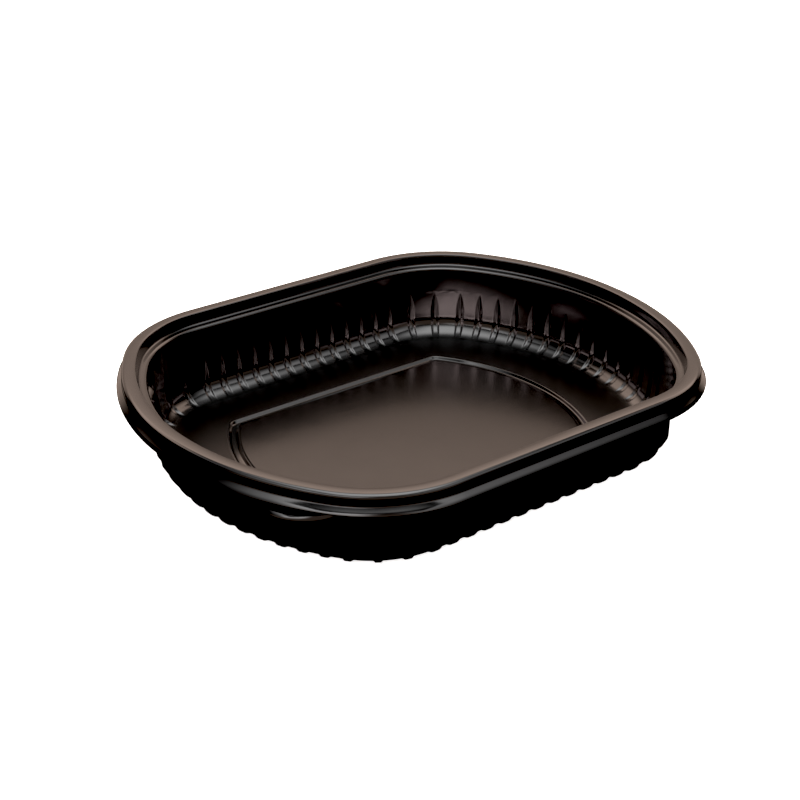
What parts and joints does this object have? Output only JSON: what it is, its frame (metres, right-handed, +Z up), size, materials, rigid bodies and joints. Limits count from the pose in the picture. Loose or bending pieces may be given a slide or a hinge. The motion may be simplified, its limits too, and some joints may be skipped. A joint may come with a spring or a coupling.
{
  "type": "microwave food container",
  "caption": "Shallow black food tray with straight sides, bowed ends, rolled rim, lid ledge, fluted walls and a foot groove round the floor.",
  "frame": {"origin": "centre of the tray in plan, on the surface that it stands on", "axes": "+Z up out of the open top, +X along the long sides, +Y across the tray"},
  "size_m": [0.225, 0.183, 0.037],
  "materials": {
    "black_plastic": "glossy black formed sheet"
  },
  "bodies": {
    "root": {"tray": "black_plastic"}
  },
  "joints": []
}
